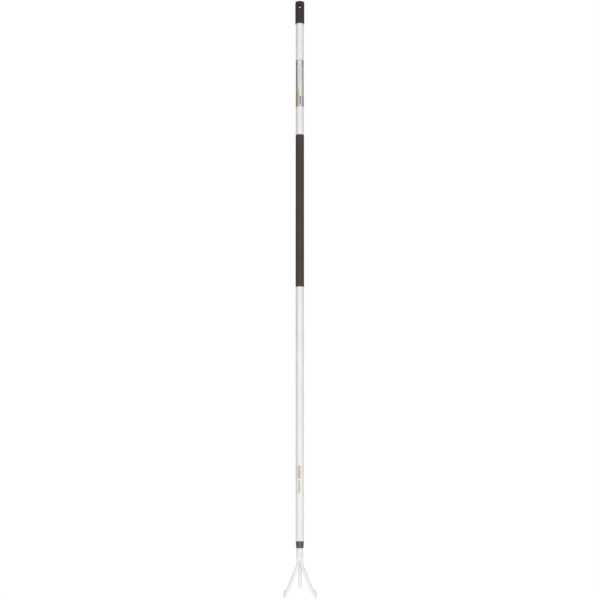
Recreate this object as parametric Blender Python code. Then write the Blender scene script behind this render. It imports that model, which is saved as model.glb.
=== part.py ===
"""Long handled garden cultivator: an aluminium tube with an end cap, a grip sleeve and a label,
and a steel head of three hooked tines that a plastic collar holds in the tube's lower end.

Metres, +Z up. The origin is the middle of the hang hole in the end cap, so the tool hangs down
from it along -Z. The tines hook towards +Y, the working side, and spread along X.
"""

import math

import bmesh
import bpy
from mathutils import Matrix, Vector

# Fits
seat_gap = 0.0003
skin_gap = 0.00015

# How finely round shapes are divided
round_sides = 48
rod_sides = 20
weld_sides = 12
ease_steps = 4
flare_steps = 6
bend_steps = 6
hook_steps = 8
shoulder_steps = 7
taper_steps = 13
merge_distance = 0.000001
smooth_angle = math.radians(35.0)

# Handle tube
shaft_length = 1.410
shaft_diameter = 0.0214
shaft_wall = 0.0015
shaft_chamfer = 0.0003

# End cap with its hang hole
cap_length = 0.062
cap_wall = 0.00115
cap_head_height = 0.027
cap_top_round = 0.0026
cap_rim_round = 0.0005
spigot_length = 0.026
spigot_wall = 0.0015
hole_to_cap_top = 0.015
hole_diameter = 0.0083
hole_dish_diameter = 0.0152
hole_dish_depth = 0.0032
hole_overrun = 0.0008

# Grip sleeve, shrunk on the tube
grip_length = 0.409
grip_below_hole = 0.353
grip_wall = 0.00035
grip_rim_round = 0.00012

# Wrapped label, with its seam at the back
label_length = 0.129
label_below_hole = 0.148
label_thickness = 0.00012
label_seam_steps = 1

# Collar with the bush that fills the tube's lower end
collar_height = 0.017
collar_top_diameter = 0.0210
collar_bottom_diameter = 0.0192
collar_chamfer = 0.0013
bush_length = 0.060
bush_lead_in = 0.0010
crush_rib_count = 6
crush_rib_width = 0.0012
crush_rib_height = 0.00035

# Neck: a boss below the collar and a tang inside the bush
neck_diameter = 0.0179
neck_height = 0.024
neck_round = 0.0012
neck_top_round = 0.0006
tang_diameter = 0.0140
tang_length = 0.086
tang_chamfer = 0.0015

# Tines: each is drawn from a rod that is thinner where it stands under the neck
rod_diameter = 0.0094
rod_top_diameter = 0.0080
rod_swell_length = 0.040
peg_diameter = 0.0054
peg_length = 0.014
peg_chamfer = 0.0006
outer_drop = 0.1036
centre_drop = 0.0760
straight_below_neck = 0.008
splay_angle = math.radians(21.8)
splay_radius = 0.046
fan_angle = math.radians(2.0)
outer_hook_angle = math.radians(32.0)
outer_hook_radius = 0.075
centre_lean_angle = math.radians(25.0)
centre_lean_radius = 0.035
centre_hook_angle = math.radians(20.0)
centre_hook_radius = 0.090

# Forged blades at the ends of the tines
blade_length = 0.0328
blade_curl = math.radians(15.0)
outer_blade_width = 0.0146
centre_blade_width = 0.0108
blade_shoulder = 0.32
blade_tip_bluntness = 3.4
blade_twist = math.radians(15.0)
blade_face_depth = 0.0015
blade_tip_ridge = 0.0030
blade_tip_width = 0.0056
blade_ridge_thinning = 0.45
blade_face_thinning = 0.4
blade_ridge_pinch = 1.2
blade_face_flatness = 0.45
outer_blade_offset = 0.0024
outer_wing_bend = 0.0045

# Weld beads in the valleys between the rods
weld_radius = 0.0015
weld_length = 0.011
weld_top_radius = 0.00105
weld_top_ease = 0.00075

# Heights that follow from the sizes above
cap_top = hole_to_cap_top
cap_bottom = cap_top - cap_length
shaft_top = cap_top - cap_head_height
shaft_bottom = shaft_top - shaft_length
collar_top = shaft_bottom - seat_gap
collar_bottom = collar_top - collar_height
neck_top = collar_bottom - seat_gap
neck_bottom = neck_top - neck_height
rod_top = neck_bottom - seat_gap

# Radii that follow from them
shaft_radius = shaft_diameter / 2
bore_radius = shaft_radius - shaft_wall
rod_radius = rod_diameter / 2
rod_top_radius = rod_top_diameter / 2
peg_radius = peg_diameter / 2
bundle_radius = (rod_top_diameter + seat_gap) / math.sqrt(3)


def clear_scene():
    for item in list(bpy.data.objects):
        bpy.data.objects.remove(item, do_unlink=True)


def finish_material(name, colour, roughness, metallic):
    """A Principled material with one colour."""
    material = bpy.data.materials.new(name)
    material.use_nodes = True
    shader = material.node_tree.nodes["Principled BSDF"]
    shader.inputs["Base Color"].default_value = (*colour, 1.0)
    shader.inputs["Roughness"].default_value = roughness
    shader.inputs["Metallic"].default_value = metallic
    return material


def add_piece(name, shape, material):
    """Turn a bmesh into a named object, smooth except across sharp edges."""
    bmesh.ops.recalc_face_normals(shape, faces=shape.faces)
    mesh = bpy.data.meshes.new(name)
    shape.to_mesh(mesh)
    shape.free()
    mesh.shade_smooth()
    mesh.set_sharp_from_angle(angle=smooth_angle)
    piece = bpy.data.objects.new(name, mesh)
    bpy.context.scene.collection.objects.link(piece)
    if material:
        piece.data.materials.append(material)
    return piece


def cut_away(piece, cutter):
    """Subtract the cutter from the piece and keep the cutter out of the model."""
    cut = piece.modifiers.new(cutter.name, "BOOLEAN")
    cut.operation = "DIFFERENCE"
    cut.solver = "EXACT"
    cut.object = cutter
    cutter.hide_render = True
    cutter.display_type = "WIRE"


def eased(corners):
    """Outline points (radius, height), with each corner (radius, height, ease) rounded by its ease."""
    points = []
    for index, (radius, height, ease) in enumerate(corners):
        corner = Vector((radius, height))
        if not ease:
            points.append(corner)
            continue
        before = Vector(corners[index - 1][:2]) - corner
        after = Vector(corners[(index + 1) % len(corners)][:2]) - corner
        half_angle = before.angle(after) / 2
        middle = (before.normalized() + after.normalized()).normalized()
        centre = corner + middle * (ease / math.sin(half_angle))
        start = corner + before.normalized() * (ease / math.tan(half_angle)) - centre
        end = corner + after.normalized() * (ease / math.tan(half_angle)) - centre
        for step in range(ease_steps + 1):
            towards = start.normalized().slerp(end.normalized(), step / ease_steps)
            points.append(centre + towards * ease)
    return points


def spun(outline, place=None, sides=round_sides):
    """Spin an outline of (radius, height) points round Z, then place it. An outline that starts and
    ends on the axis is left open there, and any other is a closed ring."""
    shape = bmesh.new()
    corners = [shape.verts.new((radius, 0.0, height)) for radius, height in outline]
    on_axis = outline[0][0] == 0.0 and outline[-1][0] == 0.0
    pairs = zip(corners, corners[1:] if on_axis else corners[1:] + corners[:1])
    edges = [shape.edges.new(pair) for pair in pairs]
    bmesh.ops.spin(
        shape,
        geom=corners + edges,
        cent=(0.0, 0.0, 0.0),
        axis=(0.0, 0.0, 1.0),
        angle=math.tau,
        steps=sides,
        use_merge=True,
    )
    bmesh.ops.remove_doubles(shape, verts=shape.verts, dist=merge_distance)
    if place:
        bmesh.ops.transform(shape, matrix=place, verts=shape.verts)
    return shape


def build_shaft(paint):
    """The handle: one drawn tube, both ends chamfered."""
    outline = [
        (bore_radius + shaft_chamfer, shaft_top),
        (shaft_radius - shaft_chamfer, shaft_top),
        (shaft_radius, shaft_top - shaft_chamfer),
        (shaft_radius, shaft_bottom + shaft_chamfer),
        (shaft_radius - shaft_chamfer, shaft_bottom),
        (bore_radius + shaft_chamfer, shaft_bottom),
        (bore_radius, shaft_bottom + shaft_chamfer),
        (bore_radius, shaft_top - shaft_chamfer),
    ]
    return add_piece("shaft_tube", spun(outline), paint)


def build_end_cap(plastic):
    """A moulded cap: a solid head, a skirt outside the tube and a hollow spigot inside it."""
    skirt_inside = shaft_radius + seat_gap
    skirt_outside = skirt_inside + cap_wall
    spigot_outside = bore_radius - seat_gap
    spigot_inside = spigot_outside - spigot_wall
    slot_floor = shaft_top + seat_gap
    spigot_bottom = slot_floor - spigot_length
    outline = eased(
        [
            (0.0, slot_floor, 0.0),
            (spigot_inside, slot_floor, 0.0),
            (spigot_inside, spigot_bottom, cap_rim_round),
            (spigot_outside, spigot_bottom, cap_rim_round),
            (spigot_outside, slot_floor, 0.0),
            (skirt_inside, slot_floor, 0.0),
            (skirt_inside, cap_bottom, 0.0),
            (skirt_outside, cap_bottom, cap_rim_round),
            (skirt_outside, cap_top, cap_top_round),
            (0.0, cap_top, 0.0),
        ]
    )
    cap = add_piece("end_cap", spun(outline), plastic)
    cut_away(cap, build_hole_cutter(skirt_outside))
    return cap


def build_hole_cutter(cap_radius):
    """The hang hole: straight in the middle, and flared to a dish at the front and the back."""
    hole_radius = hole_diameter / 2
    dish_radius = hole_dish_diameter / 2
    outside = -cap_radius - hole_overrun
    flare = [Vector((0.0, outside)), Vector((dish_radius, outside))]
    for step in range(1, flare_steps + 1):
        turn = math.pi / 2 * step / flare_steps
        radius = hole_radius + (dish_radius - hole_radius) * (1 - math.sin(turn))
        depth = -cap_radius + hole_dish_depth * (1 - math.cos(turn))
        flare.append(Vector((radius, depth)))
    outline = flare + [Vector((radius, -height)) for radius, height in reversed(flare)]
    return add_piece("hang_hole_cutter", spun(outline, Matrix.Rotation(math.pi / 2, 4, "X")), None)


def build_grip(rubber):
    """The long soft sleeve on the upper half of the tube."""
    inside = shaft_radius + skin_gap
    outside = inside + grip_wall
    top = -grip_below_hole
    bottom = top - grip_length
    outline = eased(
        [
            (inside, bottom, 0.0),
            (outside, bottom, grip_rim_round),
            (outside, top, grip_rim_round),
            (inside, top, 0.0),
        ]
    )
    return add_piece("grip_sleeve", spun(outline), rubber)


def build_label(film):
    """A printed film wrapped once round the tube, its edges a little apart at the back."""
    inside = shaft_radius + skin_gap
    outside = inside + label_thickness
    top = -label_below_hole
    bottom = top - label_length
    step_angle = math.tau / round_sides
    seam = math.pi / 2 + step_angle * label_seam_steps
    start = Matrix.Rotation(seam, 4, "Z")
    shape = bmesh.new()
    corners = [
        shape.verts.new(start @ Vector((radius, 0.0, height)))
        for radius, height in ((inside, bottom), (outside, bottom), (outside, top), (inside, top))
    ]
    strip_end = shape.faces.new(corners)
    bmesh.ops.spin(
        shape,
        geom=[strip_end],
        cent=(0.0, 0.0, 0.0),
        axis=(0.0, 0.0, 1.0),
        angle=math.tau - step_angle * label_seam_steps,
        steps=round_sides - label_seam_steps,
    )
    return add_piece("wrap_label", shape, film)


def build_collar(plastic):
    """The tapered collar that closes the joint, and the bush above it that fills the tube."""
    bore = tang_diameter / 2 + seat_gap
    rib_outside = bore_radius - seat_gap
    bush_outside = rib_outside - crush_rib_height
    bush_top = collar_top + bush_length
    outline = [
        (bore, collar_bottom),
        (collar_bottom_diameter / 2 - collar_chamfer, collar_bottom),
        (collar_bottom_diameter / 2, collar_bottom + collar_chamfer),
        (collar_top_diameter / 2, collar_top),
        (bush_outside, collar_top),
        (bush_outside, bush_top - bush_lead_in),
        (bush_outside - bush_lead_in, bush_top),
        (bore, bush_top),
    ]
    collar = add_piece("collar_bush", spun(outline), plastic)
    for index in range(crush_rib_count):
        rib = build_crush_rib(index, bush_outside, rib_outside, bush_top)
        joined = collar.modifiers.new(rib.name, "BOOLEAN")
        joined.operation = "UNION"
        joined.solver = "EXACT"
        joined.object = rib
        rib.hide_render = True
        rib.display_type = "WIRE"
    return collar


def build_crush_rib(index, bush_outside, rib_outside, bush_top):
    """One upright rib that presses on the tube's bore, sunk halfway into the bush's wall."""
    root = bush_outside - crush_rib_height
    bottom = collar_top + bush_lead_in
    top = bush_top - 2 * bush_lead_in
    turn = Matrix.Rotation((index + 0.5) * math.tau / crush_rib_count, 4, "Z")
    middle = Vector(((root + rib_outside) / 2, 0.0, (bottom + top) / 2))
    size = Matrix.Diagonal((rib_outside - root, crush_rib_width, top - bottom, 1.0))
    shape = bmesh.new()
    bmesh.ops.create_cube(shape, size=1.0, matrix=turn @ Matrix.Translation(middle) @ size)
    return add_piece(f"crush_rib_{index + 1}", shape, None)


def bundle_places():
    """Where the three rods stand under the neck: two in front, and the centre one behind."""
    return {
        side: Matrix.Rotation(turn, 3, "Z") @ Vector((0.0, bundle_radius, 0.0))
        for side, turn in (("left", math.tau / 3), ("right", -math.tau / 3), ("centre", 0.0))
    }


def build_neck(paint):
    """The steel neck: a tang up in the bush, and a boss with a blind hole for each rod's peg."""
    tang_top = neck_top + tang_length
    outline = eased(
        [
            (0.0, neck_bottom, 0.0),
            (neck_diameter / 2, neck_bottom, neck_round),
            (neck_diameter / 2, neck_top, neck_top_round),
            (tang_diameter / 2, neck_top, 0.0),
            (tang_diameter / 2, tang_top - tang_chamfer, 0.0),
            (tang_diameter / 2 - tang_chamfer, tang_top, 0.0),
            (0.0, tang_top, 0.0),
        ]
    )
    neck = add_piece("neck", spun(outline), paint)
    hole_top = neck_bottom + peg_length + seat_gap
    hole_bottom = neck_bottom - neck_round
    for side, place in bundle_places().items():
        shape = bmesh.new()
        middle = Vector((place.x, place.y, (hole_top + hole_bottom) / 2))
        bmesh.ops.create_cone(
            shape,
            cap_ends=True,
            segments=rod_sides,
            radius1=peg_radius + seat_gap,
            radius2=peg_radius + seat_gap,
            depth=hole_top - hole_bottom,
            matrix=Matrix.Translation(middle),
        )
        cut_away(neck, add_piece(f"peg_hole_cutter_{side}", shape, None))
    return neck


def march(frame, length, steps, bend=0.0, axis="X", twist=0.0):
    """Frames along a stretch of rod. The rod runs along the frame's -Z, its width lies along X and
    its working side faces +Y. A bend turns it about the given axis and a twist about itself."""
    frames = []
    half_turn = Matrix.Rotation(bend / steps / 2, 4, axis)
    advance = Matrix.Translation((0.0, 0.0, -length / steps))
    roll = Matrix.Rotation(twist / steps, 4, "Z")
    for _ in range(steps):
        frame = frame @ half_turn @ advance @ half_turn @ roll
        frames.append(frame)
    return frames


def tine_frames(place, side, run):
    """The rod's frames from the neck to the blade, then the blade's own frames. side is -1 for the
    left tine, 1 for the right one and 0 for the centre one; run is the rod's straight stretch."""
    frames = [Matrix.Translation((place.x, place.y, rod_top))]
    frames += march(frames[-1], straight_below_neck, 1)
    if side:
        splay_arc = splay_radius * splay_angle
        frames += march(frames[-1], splay_arc, bend_steps, -side * splay_angle, "Y")
        frames[-1] = frames[-1] @ Matrix.Rotation(-side * fan_angle, 4, "Z")
        hook_radius, hook_angle, twist = outer_hook_radius, outer_hook_angle, side * blade_twist
    else:
        lean_arc = centre_lean_radius * centre_lean_angle
        frames += march(frames[-1], lean_arc, bend_steps, centre_lean_angle)
        hook_radius, hook_angle, twist = centre_hook_radius, centre_hook_angle, 0.0
    frames += march(frames[-1], run, 1)
    frames += march(frames[-1], hook_radius * hook_angle, hook_steps, hook_angle)
    shoulder = blade_length * blade_shoulder
    shoulder_curl = blade_curl * blade_shoulder
    blade = march(frames[-1], shoulder, shoulder_steps, shoulder_curl, "X", twist)
    blade += march(blade[-1], blade_length - shoulder, taper_steps, blade_curl - shoulder_curl)
    return frames, blade


def straight_run(place, side, drop):
    """The straight stretch that brings the blade's tip down to the wanted drop below the neck."""
    trial = blade_length
    short = tine_frames(place, side, 0.0)[1][-1].translation.z
    long = tine_frames(place, side, trial)[1][-1].translation.z
    return (drop - (rod_top - short)) / ((short - long) / trial)


def with_travel(frames):
    """Each frame after the first one, and how far along the rod it lies from there."""
    travelled = 0.0
    for before, frame in zip(frames, frames[1:]):
        travelled += (frame.translation - before.translation).length
        yield frame, travelled


def rod_radius_at(travelled):
    """The rod's radius that far below the neck: thin at first, then swelling to its full size."""
    part = (travelled - straight_below_neck) / rod_swell_length
    return rod_top_radius + (rod_radius - rod_top_radius) * min(1.0, max(0.0, part))


def blade_section(part, width):
    """Half width, ridge, working face and wing sharpness of the blade, part of the way to its tip."""
    if part <= blade_shoulder:
        swell = part / blade_shoulder
        swell = swell * swell * (3 - 2 * swell)
        half_width = rod_radius + (width / 2 - rod_radius) * swell
    else:
        swell = 1.0
        taper = ((part - blade_shoulder) / (1 - blade_shoulder)) ** blade_tip_bluntness
        tip = blade_tip_width / 2
        half_width = tip + (width / 2 - tip) * math.sqrt(max(0.0, 1 - taper))
    end = part ** 4
    ridge = (rod_radius + (blade_tip_ridge - rod_radius) * part) * (1 - blade_ridge_thinning * end)
    face = (rod_radius + (blade_face_depth - rod_radius) * swell) * (1 - blade_face_thinning * end)
    return half_width, ridge, face, swell


def ring_of(shape, frame, half_width, ridge, face, swell, side=0):
    """One loop of vertices round the rod: a circle, or a blade's ridge with a wing on either side.
    A side blade is moved outward, and its outer wing is bent back along the ridge."""
    ring = []
    for index in range(rod_sides):
        turn = math.tau * index / rod_sides
        across = half_width * math.cos(turn) + side * outer_blade_offset * swell
        bend = outer_wing_bend * swell * max(0.0, side * math.cos(turn))
        rise = abs(math.sin(turn))
        if math.sin(turn) < 0:
            up = -ridge * rise ** (1 + blade_ridge_pinch * swell)
        else:
            up = face * rise ** (1 - blade_face_flatness * swell)
        ring.append(shape.verts.new(frame @ Vector((across, up + bend, 0.0))))
    return ring


def build_tine(name, place, side, drop, blade_width, paint):
    """A tine forged from one round rod: a peg in the neck, the bent rod, and a flattened blade."""
    frames, blade = tine_frames(place, side, straight_run(place, side, drop))
    shape = bmesh.new()
    rings = []
    peg_top = Matrix.Translation((place.x, place.y, rod_top + peg_length))
    lowered = Matrix.Translation((0.0, 0.0, -peg_chamfer))
    for frame, radius in (
        (peg_top, peg_radius - peg_chamfer),
        (peg_top @ lowered, peg_radius),
        (frames[0], peg_radius),
        (frames[0], rod_top_radius - peg_chamfer),
        (frames[0] @ lowered, rod_top_radius),
    ):
        rings.append(ring_of(shape, frame, radius, radius, radius, 0.0))
    for frame, travelled in with_travel(frames):
        radius = rod_radius_at(travelled)
        rings.append(ring_of(shape, frame, radius, radius, radius, 0.0))
    for frame, travelled in with_travel([frames[-1]] + blade):
        section = blade_section(min(1.0, travelled / blade_length), blade_width)
        rings.append(ring_of(shape, frame, *section, side))
    for upper, lower in zip(rings, rings[1:]):
        for index in range(rod_sides):
            beside = (index + 1) % rod_sides
            shape.faces.new((upper[index], upper[beside], lower[beside], lower[index]))
    shape.faces.new(rings[0])
    shape.faces.new(rings[-1])
    return add_piece(name, shape, paint)


def build_weld(name, turn, paint):
    """A tapered weld bead in the valley between two rods, close under the neck."""
    reach = rod_top_radius + seat_gap + weld_radius
    valley = math.sqrt(reach ** 2 - (rod_top_radius + seat_gap / 2) ** 2)
    distance = bundle_radius / 2 + valley
    outline = [(0.0, 0.0), (weld_top_radius, 0.0), (weld_radius, -weld_top_ease)]
    for step in range(1, bend_steps):
        part = step / bend_steps
        outline.append((weld_radius * math.sqrt(1 - part ** 2), -weld_length * part))
    outline.append((0.0, -weld_length))
    place = Matrix.Rotation(turn, 4, "Z") @ Matrix.Translation((0.0, -distance, rod_top))
    return add_piece(name, spun(outline, place, weld_sides), paint)


def build_cultivator():
    clear_scene()
    white_paint = finish_material("white_paint", (0.84, 0.84, 0.83), 0.4, 0.0)
    head_paint = finish_material("head_paint", (0.82, 0.82, 0.82), 0.45, 0.0)
    cap_plastic = finish_material("cap_plastic", (0.045, 0.040, 0.037), 0.5, 0.0)
    grip_rubber = finish_material("grip_rubber", (0.075, 0.060, 0.050), 0.75, 0.0)
    collar_plastic = finish_material("collar_plastic", (0.09, 0.09, 0.09), 0.45, 0.0)
    silver_film = finish_material("silver_film", (0.55, 0.55, 0.54), 0.35, 0.4)

    build_shaft(white_paint)
    build_end_cap(cap_plastic)
    build_grip(grip_rubber)
    build_label(silver_film)
    build_collar(collar_plastic)
    build_neck(head_paint)
    places = bundle_places()
    build_tine("tine_left", places["left"], -1, outer_drop, outer_blade_width, head_paint)
    build_tine("tine_centre", places["centre"], 0, centre_drop, centre_blade_width, head_paint)
    build_tine("tine_right", places["right"], 1, outer_drop, outer_blade_width, head_paint)
    build_weld("weld_front", 0.0, head_paint)
    build_weld("weld_left", -math.tau / 3, head_paint)
    build_weld("weld_right", math.tau / 3, head_paint)


build_cultivator()
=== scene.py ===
"""A long handled garden cultivator in a plain white studio, dressed piece by piece in the order in
which it is put together: handle tube, printed scales, collar, neck, tines, weld, cap, grip, label.
Metres, +Z up along the handle, -Y towards the camera, the origin in the hang hole."""

import math

import bmesh
import bpy
from mathutils import Matrix, Vector
from mathutils.bvhtree import BVHTree


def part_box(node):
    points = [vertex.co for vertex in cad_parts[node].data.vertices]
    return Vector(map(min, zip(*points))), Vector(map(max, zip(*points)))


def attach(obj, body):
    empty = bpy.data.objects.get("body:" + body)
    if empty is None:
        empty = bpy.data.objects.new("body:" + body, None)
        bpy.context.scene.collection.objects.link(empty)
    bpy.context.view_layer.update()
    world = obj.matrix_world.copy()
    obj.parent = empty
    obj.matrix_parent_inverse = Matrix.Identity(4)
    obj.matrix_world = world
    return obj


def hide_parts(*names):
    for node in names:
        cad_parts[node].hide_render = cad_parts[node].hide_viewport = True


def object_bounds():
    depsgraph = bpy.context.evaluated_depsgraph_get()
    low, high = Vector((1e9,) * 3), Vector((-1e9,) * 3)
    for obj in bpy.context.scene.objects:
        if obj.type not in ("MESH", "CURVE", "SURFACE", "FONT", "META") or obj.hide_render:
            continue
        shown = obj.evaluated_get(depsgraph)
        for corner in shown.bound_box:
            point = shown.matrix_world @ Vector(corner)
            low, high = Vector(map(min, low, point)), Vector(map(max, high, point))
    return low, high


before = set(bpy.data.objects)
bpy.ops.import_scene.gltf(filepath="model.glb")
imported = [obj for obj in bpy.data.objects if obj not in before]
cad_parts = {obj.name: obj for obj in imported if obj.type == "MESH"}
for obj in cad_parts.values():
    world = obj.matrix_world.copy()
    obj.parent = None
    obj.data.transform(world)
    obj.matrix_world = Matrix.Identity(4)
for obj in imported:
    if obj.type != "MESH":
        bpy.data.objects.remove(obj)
cad_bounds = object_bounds()


# The handle is one drawn aluminium tube with both ends chamfered. It is powder coated white, which
# leaves a fine orange peel on it, and the cap and the collar's bush are pressed into its ends.
tube_low, tube_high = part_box("shaft_tube")
tube_radius = tube_high.x
tube_wall = 0.0015
tube_chamfer = 0.0003
tube_sides = 128
tube_bays = 15
tube_bay_length = 0.094
rim_width = 0.001
ring_reach = 0.0004
cloud_low, cloud_high = 0.32, 0.68
line_shortening = 0.035
line_low, line_high = 0.66, 0.74
line_dullness = 0.12
coat_white = (0.868, 0.868, 0.864, 1.0)
coat_shade = (0.828, 0.828, 0.824, 1.0)


def turned(outline, sides):
    """A closed shape spun round the handle's axis from an outline of (radius, height) corners."""
    shape = bmesh.new()
    corners = [shape.verts.new((radius, 0.0, height)) for radius, height in outline]
    on_axis = outline[0][0] == outline[-1][0] == 0.0
    pairs = zip(corners, corners[1:] if on_axis else corners[1:] + corners[:1])
    sides_of_outline = [shape.edges.new(pair) for pair in pairs]
    bmesh.ops.spin(
        shape,
        geom=corners + sides_of_outline,
        cent=(0.0, 0.0, 0.0),
        axis=(0.0, 0.0, 1.0),
        angle=math.tau,
        steps=sides,
        use_merge=True,
    )
    bmesh.ops.remove_doubles(shape, verts=shape.verts, dist=0.000001)
    bmesh.ops.recalc_face_normals(shape, faces=shape.faces)
    return shape


def round_corners(shape, heights, width, steps):
    """Bevel the sharp rings of a turned shape that lie at any of these heights."""
    rings = [
        edge
        for edge in shape.edges
        if edge.calc_face_angle(0.0) > math.radians(30)
        and any(
            all(abs(corner.co.z - height) < ring_reach for corner in edge.verts)
            for height in heights
        )
    ]
    bmesh.ops.bevel(
        shape,
        geom=rings,
        offset=width,
        offset_type="OFFSET",
        segments=steps,
        profile=0.5,
        affect="EDGES",
        material=-1,
    )


def add_rings(shape, heights):
    """Cut level rings round a shape, so that long walls keep their own shading."""
    for height in heights:
        bmesh.ops.bisect_plane(
            shape,
            geom=shape.verts[:] + shape.edges[:] + shape.faces[:],
            plane_co=(0.0, 0.0, height),
            plane_no=(0.0, 0.0, 1.0),
        )


def made_piece(shape, name, finish, sharp=40):
    """Turn a bmesh into an object of one finish, smooth but for corners over that many degrees."""
    mesh = bpy.data.meshes.new(name)
    shape.to_mesh(mesh)
    shape.free()
    if "custom_normal" in mesh.attributes:
        mesh.attributes.remove(mesh.attributes["custom_normal"])
    mesh.shade_smooth()
    mesh.set_sharp_from_angle(angle=math.radians(sharp))
    mesh.materials.clear()
    mesh.materials.append(finish)
    piece = bpy.data.objects.new(name, mesh)
    bpy.context.scene.collection.objects.link(piece)
    return piece


def new_finish(name, roughness, gloss):
    """A material and its Principled shader."""
    finish = bpy.data.materials.new(name)
    finish.use_nodes = True
    shader = finish.node_tree.nodes["Principled BSDF"]
    shader.inputs["Roughness"].default_value = roughness
    shader.inputs["Specular IOR Level"].default_value = gloss
    return finish, shader


def wired(tree, kind, feeds, **settings):
    """Add a node, apply its settings, and feed its inputs with values or with other sockets."""
    node = tree.nodes.new(kind)
    for setting, value in settings.items():
        setattr(node, setting, value)
    for name, feed in feeds.items():
        if isinstance(feed, bpy.types.NodeSocket):
            tree.links.new(feed, node.inputs[name])
        else:
            node.inputs[name].default_value = feed
    return node


def calculated(tree, operation, *values):
    """The result of one Math node."""
    return wired(tree, "ShaderNodeMath", dict(enumerate(values)), operation=operation).outputs[0]


def mixed_colour(tree, factor, first, second):
    """The mix of two colours. A Mix node has them at its inputs 6 and 7, and at its output 2."""
    feeds = {"Factor": factor, 6: first, 7: second}
    return wired(tree, "ShaderNodeMix", feeds, data_type="RGBA").outputs[2]


def new_group(name, inputs, outputs):
    """An empty shader node group with named sockets, and its input and output nodes."""
    group = bpy.data.node_groups.new(name, "ShaderNodeTree")
    for socket in inputs:
        kind = "NodeSocketVector" if socket == "Position" else "NodeSocketFloat"
        group.interface.new_socket(socket, in_out="INPUT", socket_type=kind)
    for socket in outputs:
        group.interface.new_socket(socket, in_out="OUTPUT", socket_type="NodeSocketFloat")
    return group, group.nodes.new("NodeGroupInput"), group.nodes.new("NodeGroupOutput")


def noise(tree, position, scale, detail):
    """The value of one Noise Texture."""
    feeds = {"Vector": position, "Scale": scale, "Detail": detail}
    return wired(tree, "ShaderNodeTexNoise", feeds).outputs["Fac"]


def stretched(tree, value, low, high, new_low=0.0, new_high=1.0):
    """A value that goes from one new end to the other while the old one goes from low to high."""
    feeds = {"Value": value, "From Min": low, "From Max": high}
    feeds.update({"To Min": new_low, "To Max": new_high})
    return wired(tree, "ShaderNodeMapRange", feeds).outputs["Result"]


# fine_grain: the height of a fine skin, such as orange peel, and broad soft clouds from 0 to 1
fine_grain, taken, given = new_group(
    "fine_grain", ("Position", "Grains per metre", "Clouds per metre"), ("Height", "Clouds")
)
peel = noise(fine_grain, taken.outputs["Position"], taken.outputs["Grains per metre"], 3.0)
clouds = noise(fine_grain, taken.outputs["Position"], taken.outputs["Clouds per metre"], 4.0)
fine_grain.links.new(peel, given.inputs["Height"])
fine_grain.links.new(
    stretched(fine_grain, clouds, cloud_low, cloud_high), given.inputs["Clouds"]
)

# hairlines: faint handling marks that run along the handle, as a mask from 0 to 1
hairlines, taken, given = new_group("hairlines", ("Position", "Lines per metre"), ("Mask",))
drawn_out = wired(
    hairlines,
    "ShaderNodeVectorMath",
    {0: taken.outputs["Position"], 1: (1.0, 1.0, line_shortening)},
    operation="MULTIPLY",
)
lines = noise(hairlines, drawn_out.outputs["Vector"], taken.outputs["Lines per metre"], 2.0)
hairlines.links.new(stretched(hairlines, lines, line_low, line_high), given.inputs["Mask"])


def dress(finish, shader, colours, roughness, grains, clouds_per_metre, grain_depth, marks=0.0):
    """Give a finish its two mixed colours, its range of roughness, its grain and its hairlines."""
    tree = finish.node_tree
    place = tree.nodes.new("ShaderNodeTexCoord").outputs["Object"]
    grain = wired(
        tree,
        "ShaderNodeGroup",
        {"Position": place, "Grains per metre": grains, "Clouds per metre": clouds_per_metre},
        node_tree=fine_grain,
    )
    colour = mixed_colour(tree, grain.outputs["Clouds"], *colours)
    dullness = stretched(tree, grain.outputs["Clouds"], 0.0, 1.0, *roughness)
    if marks:
        feeds = {"Position": place, "Lines per metre": marks}
        mask = wired(tree, "ShaderNodeGroup", feeds, node_tree=hairlines).outputs["Mask"]
        dullness = calculated(tree, "MULTIPLY_ADD", mask, line_dullness, dullness)
    feeds = {"Height": grain.outputs["Height"], "Distance": grain_depth}
    relief = wired(tree, "ShaderNodeBump", feeds)
    tree.links.new(colour, shader.inputs["Base Color"])
    tree.links.new(dullness, shader.inputs["Roughness"])
    tree.links.new(relief.outputs["Normal"], shader.inputs["Normal"])
    return place, colour


tube_coat, shader = new_finish("tube_coat", roughness=0.4, gloss=0.45)
dress(
    tube_coat,
    shader,
    colours=(coat_white, coat_shade),
    roughness=(0.36, 0.44),
    grains=850.0,
    clouds_per_metre=14.0,
    grain_depth=0.00003,
    marks=700.0,
)
tube_shape = turned(
    [
        (tube_radius, tube_high.z),
        (tube_radius, tube_low.z),
        (tube_radius - tube_wall, tube_low.z),
        (tube_radius - tube_wall, tube_high.z),
    ],
    tube_sides,
)
round_corners(tube_shape, (tube_low.z, tube_high.z), tube_chamfer, steps=3)
add_rings(tube_shape, (tube_low.z + rim_width, tube_high.z - rim_width))
add_rings(tube_shape, [tube_low.z + bay * tube_bay_length for bay in range(1, tube_bays)])
tube = made_piece(tube_shape, "handle_tube", tube_coat)
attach(tube, "root")
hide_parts("shaft_tube")


# Two short scales are screen printed in ochre ink on the front of the tube, above the collar. Each
# is an upright line with even bars across it, heavier on the upper one. The ink is a thin layer.
lower_scale = tube_low.z + 0.1229
upper_scale = lower_scale + 0.0366
bar_pitch = 0.0026
bars_in_scale = 13
# height, left and right edge of a bar, measured across from the front of the tube
light_bar = (0.00060, -0.0041, 0.0019)
heavy_bar = (0.00125, -0.0047, 0.0023)
spine_left, spine_right = -0.0021, -0.0005
scale_left, scale_right = -0.0047, 0.0023
scale_columns = 35
ink_lift = 0.000015
ink_thickness = 0.000025
ink_radius = tube_radius + ink_lift
ink_ochre = (0.470, 0.235, 0.060, 1.0)
ink_ochre_worn = (0.530, 0.285, 0.095, 1.0)

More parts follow.
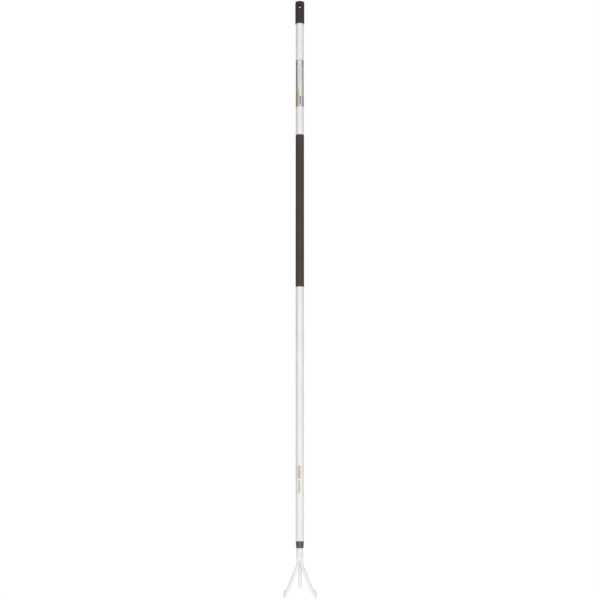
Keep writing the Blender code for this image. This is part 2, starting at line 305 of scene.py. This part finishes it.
ink, shader = new_finish("ochre_ink", roughness=0.45, gloss=0.4)
dress(
    ink,
    shader,
    colours=(ink_ochre, ink_ochre_worn),
    roughness=(0.40, 0.55),
    grains=1600.0,
    clouds_per_metre=260.0,
    grain_depth=0.00001,
)
bars = [(lower_scale + step * bar_pitch, light_bar) for step in range(bars_in_scale)]
bars += [(upper_scale + step * bar_pitch, heavy_bar) for step in range(bars_in_scale)]
blank_from = bars[bars_in_scale - 1][0] + light_bar[0]
scale_shape = bmesh.new()
facing = Matrix.Rotation(scale_left / ink_radius - math.pi / 2, 3, "Z")
levels = [level for bottom, bar in bars for level in (bottom, bottom + bar[0])]
posts = [scale_shape.verts.new(facing @ Vector((ink_radius, 0.0, level))) for level in levels]
rises = [scale_shape.edges.new(pair) for pair in zip(posts, posts[1:])]
bmesh.ops.spin(
    scale_shape,
    geom=posts + rises,
    cent=(0.0, 0.0, 0.0),
    axis=(0.0, 0.0, 1.0),
    angle=(scale_right - scale_left) / ink_radius,
    steps=scale_columns,
)


def inked(face):
    """Whether a small face of the print lies on an upright line or on one of the bars."""
    middle = face.calc_center_median()
    across = math.atan2(middle.x, -middle.y) * ink_radius
    if blank_from < middle.z < upper_scale:
        return False
    if spine_left < across < spine_right:
        return True
    return any(
        bottom < middle.z < bottom + height and left < across < right
        for bottom, (height, left, right) in bars
    )


bare = [face for face in scale_shape.faces if not inked(face)]
bmesh.ops.delete(scale_shape, geom=bare, context="FACES")
bmesh.ops.recalc_face_normals(scale_shape, faces=scale_shape.faces)
if sum(face.normal.y for face in scale_shape.faces) > 0:
    bmesh.ops.reverse_faces(scale_shape, faces=scale_shape.faces)
bmesh.ops.solidify(scale_shape, geom=scale_shape.faces[:], thickness=-ink_thickness)
scale = made_piece(scale_shape, "printed_scales", ink)
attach(scale, "root")


# The collar is a moulded ring of dark grey plastic that closes the joint between tube and head. It
# is one piece with the bush that fills the tube's lower end, and its lower edge is chamfered.
collar_low, bush_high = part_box("collar_bush")
seat_gap = 0.0003
collar_top = tube_low.z - seat_gap
collar_top_radius = 0.0105
collar_foot_radius = 0.0096
collar_chamfer = 0.0013
collar_top_round = 0.0002
bush_play = 0.0006
bush_radius = tube_radius - tube_wall - bush_play
bush_bore = 0.0073
collar_sides = 96
collar_grey = (0.030, 0.030, 0.030, 1.0)
collar_grey_light = (0.042, 0.042, 0.041, 1.0)

collar_plastic, shader = new_finish("collar_plastic", roughness=0.35, gloss=1.0)
dress(
    collar_plastic,
    shader,
    colours=(collar_grey, collar_grey_light),
    roughness=(0.30, 0.42),
    grains=2400.0,
    clouds_per_metre=90.0,
    grain_depth=0.00003,
    marks=1300.0,
)
collar_shape = turned(
    [
        (bush_bore, collar_low.z),
        (collar_foot_radius, collar_low.z),
        (collar_top_radius, collar_top),
        (bush_radius, collar_top),
        (bush_radius, bush_high.z),
        (bush_bore, bush_high.z),
    ],
    collar_sides,
)
round_corners(collar_shape, (collar_low.z,), collar_chamfer, steps=2)
round_corners(collar_shape, (collar_top,), collar_top_round, steps=2)
add_rings(collar_shape, (collar_low.z + 0.0020, collar_top - 0.0008, collar_top + rim_width))
collar = made_piece(collar_shape, "joint_collar", collar_plastic, sharp=28)
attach(collar, "root")
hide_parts("collar_bush")


# The neck is turned from steel bar: a boss below the collar with a tapered foot, and a tang that
# goes up into the bush. It is coated together with the tines, after they are welded to it.
neck_low, tang_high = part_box("neck")
neck_radius = abs(neck_low.x)
neck_top = neck_low.z + 0.024
tang_radius = 0.0070
neck_round = 0.0006
tang_round = 0.0012
# radius of the tapered foot, and the height above the neck's lower face at which it has it
neck_foot = ((0.0072, 0.0), (0.0079, 0.0012), (0.0085, 0.0032), (0.0088, 0.0055))
neck_straight = 0.0080
neck_sides = 96
head_white = (0.862, 0.862, 0.859, 1.0)
head_shade = (0.795, 0.795, 0.793, 1.0)

head_coat, shader = new_finish("head_coat", roughness=0.4, gloss=0.5)
dress(
    head_coat,
    shader,
    colours=(head_white, head_shade),
    roughness=(0.34, 0.46),
    grains=700.0,
    clouds_per_metre=45.0,
    grain_depth=0.00005,
    marks=500.0,
)
neck_shape = turned(
    [
        (0.0, neck_low.z),
        *((radius, neck_low.z + rise) for radius, rise in neck_foot),
        (neck_radius, neck_low.z + neck_straight),
        (neck_radius, neck_top),
        (tang_radius, neck_top),
        (tang_radius, tang_high.z),
        (0.0, tang_high.z),
    ],
    neck_sides,
)
round_corners(neck_shape, (neck_low.z,), neck_round, steps=3)
round_corners(neck_shape, (neck_top,), neck_round, steps=3)
round_corners(neck_shape, (tang_high.z,), tang_round, steps=2)
add_rings(neck_shape, (neck_top - 0.0015, neck_top + rim_width))
neck = made_piece(neck_shape, "head_neck", head_coat)
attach(neck, "root")
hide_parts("neck")


# Each tine is a round steel rod, bent and then forged flat at its end into a leaf shaped blade with
# a ridge on its outside. The forging leaves soft shoulders where the blade begins, and a domed tip.
tip_way = Vector((0.0, 0.8, -0.6))
tip_dome = 0.0010
tip_squareness = 0.9


def dome_tip(shape):
    """Turn the square cut end of a blade into a low dome."""
    flat = [face for face in shape.faces if face.normal.dot(tip_way) > tip_squareness]
    blade_end = bmesh.ops.dissolve_faces(shape, faces=flat)["region"][0]
    bmesh.ops.translate(shape, verts=blade_end.verts, vec=-tip_dome * blade_end.normal)
    bmesh.ops.poke(shape, faces=[blade_end], offset=tip_dome)


tines = []
for side in ("left", "centre", "right"):
    tine_shape = bmesh.new()
    tine_shape.from_mesh(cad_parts["tine_" + side].data)
    bmesh.ops.remove_doubles(tine_shape, verts=tine_shape.verts, dist=0.000002)
    dome_tip(tine_shape)
    bmesh.ops.join_triangles(
        tine_shape,
        faces=tine_shape.faces,
        angle_face_threshold=math.radians(30),
        angle_shape_threshold=math.radians(60),
    )
    tine = made_piece(tine_shape, "forged_tine_" + side, head_coat, sharp=60)
    rounding = tine.modifiers.new("rounding", "SUBSURF")
    rounding.levels = rounding.render_levels = 2
    tines.append(tine)
    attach(tine, "root")
    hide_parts("tine_" + side)


# The rods are welded to the neck's lower face. The weld fills the valleys between them and runs out
# downward. Under the coat it makes one smooth skin with the neck's edge and the rods' upper ends.
rod_top = neck_low.z - seat_gap
weld_high = neck_low.z + 0.0080
weld_low = rod_top - 0.0230
weld_sides = 72
weld_grid = 0.0003
weld_smoothing = 90
weld_lift = 0.00006
weld_tuck = 0.00022
weld_reach = 0.0009
valley_depth = 0.27
valley_begins = 0.0040
weld_profile = (
    (0.0, weld_high),
    (0.0088, neck_low.z + 0.0080),
    (0.0089, neck_low.z + 0.0040),
    (0.0088, neck_low.z + 0.0012),
    (0.0086, rod_top - 0.0010),
    (0.0081, rod_top - 0.0030),
    (0.0071, rod_top - 0.0055),
    (0.0056, rod_top - 0.0080),
    (0.0038, rod_top - 0.0103),
    (0.0, rod_top - 0.0115),
)

weld_core = turned(weld_profile, weld_sides)
for corner in weld_core.verts:
    deep = max(0.0, min(1.0, (neck_low.z - corner.co.z) / valley_begins))
    turn_from_back = math.atan2(corner.co.y, corner.co.x) - math.pi / 2
    between = 0.5 - 0.5 * math.cos(len(tines) * turn_from_back)
    corner.co.x *= 1 - valley_depth * deep * between
    corner.co.y *= 1 - valley_depth * deep * between
graph = bpy.context.evaluated_depsgraph_get()
for tine in tines:
    weld_core.from_mesh(tine.evaluated_get(graph).to_mesh())
severed = bmesh.ops.bisect_plane(
    weld_core,
    geom=weld_core.verts[:] + weld_core.edges[:] + weld_core.faces[:],
    plane_co=(0.0, 0.0, weld_low),
    plane_no=(0.0, 0.0, -1.0),
    clear_outer=True,
)
cut_edges = [part for part in severed["geom_cut"] if isinstance(part, bmesh.types.BMEdge)]
bmesh.ops.edgeloop_fill(weld_core, edges=cut_edges)
weld_block = made_piece(weld_core, "weld_block", head_coat)
melt = weld_block.modifiers.new("melt", "REMESH")
melt.mode = "VOXEL"
melt.voxel_size = weld_grid
graph = bpy.context.evaluated_depsgraph_get()
weld_shape = bmesh.new()
weld_shape.from_mesh(weld_block.evaluated_get(graph).to_mesh())
steel = [BVHTree.FromObject(piece, graph) for piece in (neck, *tines)]
bpy.data.objects.remove(weld_block)
for _ in range(weld_smoothing):
    bmesh.ops.smooth_vert(
        weld_shape,
        verts=weld_shape.verts,
        factor=0.5,
        use_axis_x=True,
        use_axis_y=True,
        use_axis_z=True,
    )


def height_over_steel(spot):
    """How far a spot is outside the nearest rod or the neck, and the way out of that steel."""
    found = []
    for solid in steel:
        nearest, outward, _, _ = solid.find_nearest(spot)
        found.append(((spot - nearest).dot(outward), outward))
    return min(found, key=lambda pair: pair[0])


for corner in weld_shape.verts:
    below = (corner.co.z - weld_low) / (rod_top - weld_low)
    above = (weld_high - corner.co.z) / (weld_high - rod_top)
    inside = max(0.0, min(1.0, below, above))
    wanted = weld_lift * inside - weld_tuck * (1 - inside) ** 3
    height, outward = height_over_steel(corner.co)
    if -weld_reach < height < wanted:
        corner.co += outward * (wanted - height)
weld = made_piece(weld_shape, "weld_skin", head_coat, sharp=180)
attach(weld, "root")
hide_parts("weld_front", "weld_left", "weld_right")


# The end cap is moulded in near black plastic. Its skirt goes over the tube and its hollow spigot
# into it, and a hang hole with a dished mouth at both ends goes through its solid head.
cap_low, cap_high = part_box("end_cap")
cap_radius = cap_high.x
cap_play = 0.0003
skirt_bore = tube_radius + cap_play
spigot_radius = tube_radius - tube_wall - cap_play
spigot_wall = 0.0015
spigot_length = 0.026
slot_floor = tube_high.z + cap_play
cap_top_round = 0.0026
cap_rim_round = 0.0005
cap_sides = 144
hole_radius = 0.00415
hole_sides = 96
dish_radius = 0.0076
dish_depth = 0.0032
dish_steps = 12
drill_overshoot = 0.001
# distances from the hole's axis where the painted shade in the bore is full, and where it has faded
# out
bore_shade_begins, bore_shade_ends = hole_radius + 0.0001, hole_radius + 0.0012
cap_black = (0.042, 0.034, 0.030, 1.0)
cap_black_worn = (0.052, 0.043, 0.038, 1.0)
# painted shade colour for the inside of the hang hole
bore_painted_shade = (0.003, 0.003, 0.003, 1.0)

cap_plastic, shader = new_finish("cap_plastic", roughness=0.5, gloss=0.15)
place, colour = dress(
    cap_plastic,
    shader,
    colours=(cap_black, cap_black_worn),
    roughness=(0.50, 0.64),
    grains=2600.0,
    clouds_per_metre=60.0,
    grain_depth=0.00003,
    marks=1100.0,
)
# The bore is painted near black as painted shade for the inside of the hang hole, and the painted
# shade fades out over the inner lip of the dished mouth.
tree = cap_plastic.node_tree
flattened = wired(
    tree, "ShaderNodeVectorMath", {0: place, 1: (1.0, 0.0, 1.0)}, operation="MULTIPLY"
)
off_axis = wired(
    tree, "ShaderNodeVectorMath", {0: flattened.outputs["Vector"]}, operation="LENGTH"
)
bore_shade_mask = stretched(tree, off_axis.outputs["Value"], bore_shade_begins, bore_shade_ends, 1.0, 0.0)
darkened = mixed_colour(tree, bore_shade_mask, colour, bore_painted_shade)
tree.links.new(darkened, shader.inputs["Base Color"])
cap_shape = turned(
    [
        (0.0, cap_high.z),
        (cap_radius, cap_high.z),
        (cap_radius, cap_low.z),
        (skirt_bore, cap_low.z),
        (skirt_bore, slot_floor),
        (spigot_radius, slot_floor),
        (spigot_radius, slot_floor - spigot_length),
        (spigot_radius - spigot_wall, slot_floor - spigot_length),
        (spigot_radius - spigot_wall, slot_floor),
        (0.0, slot_floor),
    ],
    cap_sides,
)
round_corners(cap_shape, (cap_high.z,), cap_top_round, steps=8)
round_corners(cap_shape, (cap_low.z,), cap_rim_round, steps=3)
add_rings(cap_shape, (cap_high.z - 0.0040, cap_low.z + 0.0015, -0.0100, 0.0100))
cap = made_piece(cap_shape, "hanging_cap", cap_plastic, sharp=30)

hole_mouth = [(0.0, cap_radius + drill_overshoot), (dish_radius, cap_radius + drill_overshoot)]
for step in range(1, dish_steps + 1):
    turn = math.pi / 2 * step / dish_steps
    mouth_radius = hole_radius + (dish_radius - hole_radius) * (1 - math.sin(turn))
    hole_mouth.append((mouth_radius, cap_radius - dish_depth * (1 - math.cos(turn))))
far_mouth = [(radius, -height) for radius, height in reversed(hole_mouth)]
hole_shape = turned(hole_mouth + far_mouth, hole_sides)
bmesh.ops.rotate(
    hole_shape,
    verts=hole_shape.verts,
    cent=(0.0, 0.0, 0.0),
    matrix=Matrix.Rotation(math.pi / 2, 3, "X"),
)
hole_cutter = made_piece(hole_shape, "hole_cutter", cap_plastic)
drilled = cap.modifiers.new("hang_hole", "BOOLEAN")
drilled.operation = "DIFFERENCE"
drilled.solver = "EXACT"
drilled.object = hole_cutter
graph = bpy.context.evaluated_depsgraph_get()
drilled_mesh = bpy.data.meshes.new_from_object(cap.evaluated_get(graph))
cap.modifiers.clear()
cap.data = drilled_mesh
drilled_mesh.shade_smooth()
drilled_mesh.set_sharp_from_angle(angle=math.radians(24))
bpy.data.objects.remove(hole_cutter)
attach(cap, "root")
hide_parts("end_cap")


# The grip is a long sleeve of soft dark brown plastic, shrunk on the upper half of the tube. Its
# skin is matt with a fine pebbled grain, and its ends are cut square.
grip_low, grip_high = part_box("grip_sleeve")
wrap_gap = 0.00015
grip_radius = grip_high.x
grip_bore = tube_radius + wrap_gap
grip_round = 0.00014
grip_sides = 128
grip_brown = (0.068, 0.056, 0.048, 1.0)
grip_brown_light = (0.080, 0.067, 0.058, 1.0)

grip_rubber, shader = new_finish("grip_rubber", roughness=0.75, gloss=0.12)
dress(
    grip_rubber,
    shader,
    colours=(grip_brown, grip_brown_light),
    roughness=(0.68, 0.82),
    grains=1500.0,
    clouds_per_metre=24.0,
    grain_depth=0.00010,
)
grip_shape = turned(
    [
        (grip_radius, grip_high.z),
        (grip_radius, grip_low.z),
        (grip_bore, grip_low.z),
        (grip_bore, grip_high.z),
    ],
    grip_sides,
)
round_corners(grip_shape, (grip_low.z, grip_high.z), grip_round, steps=3)
add_rings(grip_shape, (grip_low.z + rim_width, grip_high.z - rim_width))
grip = made_piece(grip_shape, "soft_grip", grip_rubber)
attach(grip, "root")
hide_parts("grip_sleeve")


# The label is a printed silver film wrapped once round the tube, with a narrow gap at the back. The
# print is generic: a white panel with grey bars, fields of plain colour and a few dark dashes.
label_low, label_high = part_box("wrap_label")
label_radius = label_high.x
label_inside = tube_radius + wrap_gap
label_steps = 120
label_gap = 0.0014
film_metal, ink_metal = 0.72, 0.12
film_silver = (0.70, 0.70, 0.69, 1.0)
film_silver_dull = (0.65, 0.65, 0.645, 1.0)
band_grey = (0.50, 0.50, 0.50, 1.0)
panel_white = (0.87, 0.87, 0.86, 1.0)
bar_grey = (0.13, 0.13, 0.13, 1.0)
mark_grey = (0.24, 0.24, 0.24, 1.0)
mark_dark = (0.09, 0.09, 0.09, 1.0)
field_olive = (0.46, 0.45, 0.36, 1.0)
field_cream = (0.84, 0.83, 0.71, 1.0)
field_tan = (0.58, 0.475, 0.385, 1.0)
field_brown = (0.37, 0.305, 0.235, 1.0)
field_cool = (0.36, 0.385, 0.42, 1.0)
dash_brown = (0.075, 0.065, 0.055, 1.0)
# ink, then its left, right, top and bottom edge in mm, and over how many mm it fades in at the top
printed_blocks = (
    (band_grey, -34.5, 34.5, 0.0, 2.2, 0.1),
    (panel_white, -5.1, 0.4, 5.0, 24.0, 0.1),
    (bar_grey, -5.1, -2.3, 10.8, 13.2, 0.1),
    (bar_grey, -2.3, 0.4, 16.2, 18.6, 0.1),
    (mark_grey, 6.0, 9.4, 2.7, 13.5, 0.1),
    (mark_dark, 6.0, 9.4, 18.9, 21.6, 0.1),
    (field_olive, -34.5, -1.2, 74.0, 98.0, 13.0),
    (field_cream, -1.2, 3.4, 58.0, 98.0, 32.0),
    (field_tan, -34.5, 0.4, 92.0, 127.5, 6.0),
    (field_brown, -34.5, -6.3, 84.0, 127.5, 10.0),
    (field_cool, 6.0, 34.5, 92.0, 127.5, 10.0),
    (dash_brown, 0.4, 3.4, 101.5, 105.5, 0.1),
    (dash_brown, 0.4, 3.4, 106.6, 110.6, 0.1),
    (dash_brown, 0.4, 3.4, 111.9, 115.2, 0.1),
    (dash_brown, 0.4, 3.4, 116.5, 119.8, 0.1),
    (dash_brown, 0.4, 3.4, 121.4, 123.0, 0.1),
)

label_film, shader = new_finish("label_film", roughness=0.36, gloss=0.5)
place, silver = dress(
    label_film,
    shader,
    colours=(film_silver, film_silver_dull),
    roughness=(0.34, 0.40),
    grains=1200.0,
    clouds_per_metre=80.0,
    grain_depth=0.00001,
)
tree = label_film.node_tree
axes = wired(tree, "ShaderNodeSeparateXYZ", {"Vector": place})
front = calculated(tree, "MULTIPLY", axes.outputs["Y"], -1.0)
turn = calculated(tree, "ARCTAN2", axes.outputs["X"], front)
across = calculated(tree, "MULTIPLY", turn, label_radius)
down = calculated(tree, "SUBTRACT", label_high.z, axes.outputs["Z"])

# printed_block: 1 inside a rectangle of the label, measured across from the front and down from the
# top, where the ink is full only from Fade below its upper edge
printed_block, taken, given = new_group(
    "printed_block", ("Across", "Down", "Left", "Right", "Top", "Bottom", "Fade"), ("Mask",)
)
below_top = calculated(printed_block, "SUBTRACT", taken.outputs["Down"], taken.outputs["Top"])
inside = stretched(printed_block, below_top, 0.0, taken.outputs["Fade"])
for first, second in (("Across", "Left"), ("Right", "Across"), ("Bottom", "Down")):
    edge = calculated(
        printed_block, "GREATER_THAN", taken.outputs[first], taken.outputs[second]
    )
    inside = calculated(printed_block, "MULTIPLY", inside, edge)
printed_block.links.new(inside, given.inputs["Mask"])


def block_mask(left, right, top, bottom, fade):
    """Where one rectangle of ink lies on the label. Its sizes are in millimetres."""
    sizes_mm = {"Left": left, "Right": right, "Top": top, "Bottom": bottom, "Fade": fade}
    feeds = {name: size / 1000 for name, size in sizes_mm.items()}
    feeds.update({"Across": across, "Down": down})
    return wired(tree, "ShaderNodeGroup", feeds, node_tree=printed_block).outputs["Mask"]


layers = silver
covered = 0.0
for ink_colour, *block_edges in printed_blocks:
    mask = block_mask(*block_edges)
    layers = mixed_colour(tree, mask, layers, ink_colour)
    covered = calculated(tree, "MAXIMUM", covered, mask)
bright = stretched(tree, covered, 0.0, 1.0, film_metal, ink_metal)
tree.links.new(layers, shader.inputs["Base Color"])
tree.links.new(bright, shader.inputs["Metallic"])

label_shape = bmesh.new()
half_gap = label_gap / label_radius / 2
start = Matrix.Rotation(math.pi / 2 + half_gap, 3, "Z")
outline = (
    (label_inside, label_low.z),
    (label_radius, label_low.z),
    (label_radius, label_high.z),
    (label_inside, label_high.z),
)
strip = [label_shape.verts.new(start @ Vector((radius, 0.0, height))) for radius, height in outline]
bmesh.ops.spin(
    label_shape,
    geom=[label_shape.faces.new(strip)],
    cent=(0.0, 0.0, 0.0),
    axis=(0.0, 0.0, 1.0),
    angle=math.tau - 2 * half_gap,
    steps=label_steps,
)
bmesh.ops.recalc_face_normals(label_shape, faces=label_shape.faces)
label = made_piece(label_shape, "wrapped_label", label_film)
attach(label, "root")
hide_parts("wrap_label")


# The studio: a pale glowing floor just under the tines, white paper all round, soft weak lamps
# before and behind, and on either side an unseen black card that darkens the tool's flanks a bit.
floor_size = 16.0
floor_drop = 0.002
floor_z = cad_bounds[0].z - floor_drop
floor_white = (0.50, 0.50, 0.50, 1.0)
floor_glow = (0.76, 0.76, 0.76, 1.0)

floor_paint, shader = new_finish("floor_paint", roughness=0.9, gloss=0.2)
shader.inputs["Base Color"].default_value = floor_white
shader.inputs["Emission Color"].default_value = floor_glow
shader.inputs["Emission Strength"].default_value = 1.0
floor_shape = bmesh.new()
bmesh.ops.create_grid(
    floor_shape,
    x_segments=4,
    y_segments=4,
    size=floor_size,
    matrix=Matrix.Translation((0.0, 0.0, floor_z)),
)
floor = made_piece(floor_shape, "floor", floor_paint)

card_near, card_depth = -0.25, 0.75
card_low, card_high = -1.50, 0.60
card_black = (0.02, 0.02, 0.02, 1.0)
upright = Matrix.Rotation(math.pi / 2, 3, "Z") @ Matrix.Rotation(math.pi / 2, 3, "X")
card_paint, shader = new_finish("card_paint", roughness=1.0, gloss=0.0)
shader.inputs["Base Color"].default_value = card_black
for name, aside in (("card_left", -0.52), ("card_right", 0.84)):
    card_shape = bmesh.new()
    corners = bmesh.ops.create_grid(card_shape, x_segments=1, y_segments=1, size=0.5)["verts"]
    bmesh.ops.scale(card_shape, vec=(card_depth, card_high - card_low, 1.0), verts=corners)
    bmesh.ops.rotate(card_shape, verts=corners, matrix=upright)
    card_middle = (aside, card_near + card_depth / 2, (card_low + card_high) / 2)
    bmesh.ops.translate(card_shape, verts=corners, vec=card_middle)
    card = made_piece(card_shape, name, card_paint)
    card.visible_camera = False
    card.visible_shadow = False

# The paper is white where it is seen or mirrored, and lights the tool at a lower level.
paper_light = 0.70
world = bpy.data.worlds.new("white_paper")
bpy.context.scene.world = world
world.use_nodes = True
tree = world.node_tree
paper = tree.nodes["Background"]
seen = tree.nodes.new("ShaderNodeLightPath")
direct = calculated(
    tree, "MAXIMUM", seen.outputs["Is Camera Ray"], seen.outputs["Is Glossy Ray"]
)
direct = calculated(tree, "MAXIMUM", direct, seen.outputs["Is Transmission Ray"])
paper.inputs["Color"].default_value = (1.0, 1.0, 1.0, 1.0)
tree.links.new(stretched(tree, direct, 0.0, 1.0, paper_light, 1.0), paper.inputs["Strength"])

# name, place, what it aims at, its width and height, watts, and spread in degrees
lamps = (
    ("key_lamp", (0.70, -2.90, -0.95), (0.0, 0.0, -1.1), (1.1, 1.1), 7.5, 180),
    ("fill_lamp", (-1.10, -2.80, -0.95), (0.0, 0.0, -1.1), (1.1, 1.1), 3.0, 180),
    ("back_lamp", (-0.60, 2.80, -0.80), (0.0, 0.0, -0.9), (1.1, 1.1), 5.0, 180),
    ("floor_lamp", (0.0, -1.30, 0.90), (0.0, -1.30, floor_z), (1.6, 1.6), 4.0, 50),
)
for name, place, aim, size, watts, spread in lamps:
    lamp = bpy.data.lights.new(name, "AREA")
    lamp.shape = "RECTANGLE"
    lamp.size, lamp.size_y = size
    lamp.energy = watts
    lamp.spread = math.radians(spread)
    lamp_object = bpy.data.objects.new(name, lamp)
    lamp_object.location = place
    beam = Vector(aim) - lamp_object.location
    lamp_object.rotation_euler = beam.to_track_quat("-Z", "Y").to_euler()
    lamp_object.visible_camera = False
    bpy.context.scene.collection.objects.link(lamp_object)

# The camera stands level with the tines, a little to the right, and looks up along the handle.
camera_distance = 4.70
camera_yaw = math.radians(1.6)
camera_pitch = math.radians(9.322)
camera_shift_right = 0.0005
camera_lens = 109.30
across_view = Vector((math.cos(camera_yaw), math.sin(camera_yaw), 0.0))
ahead = Vector((-math.sin(camera_yaw), math.cos(camera_yaw), 0.0))
camera = bpy.data.objects.new("camera", bpy.data.cameras.new("camera"))
camera.data.sensor_width = 36.0
camera.data.lens = camera_lens
camera.location = across_view * camera_shift_right - ahead * camera_distance
camera.location.z = cad_bounds[0].z
gaze = ahead * math.cos(camera_pitch) + Vector((0.0, 0.0, math.sin(camera_pitch)))
camera.rotation_euler = gaze.to_track_quat("-Z", "Y").to_euler()
bpy.context.scene.collection.objects.link(camera)
bpy.context.scene.camera = camera
bpy.context.scene.view_settings.view_transform = "Standard"
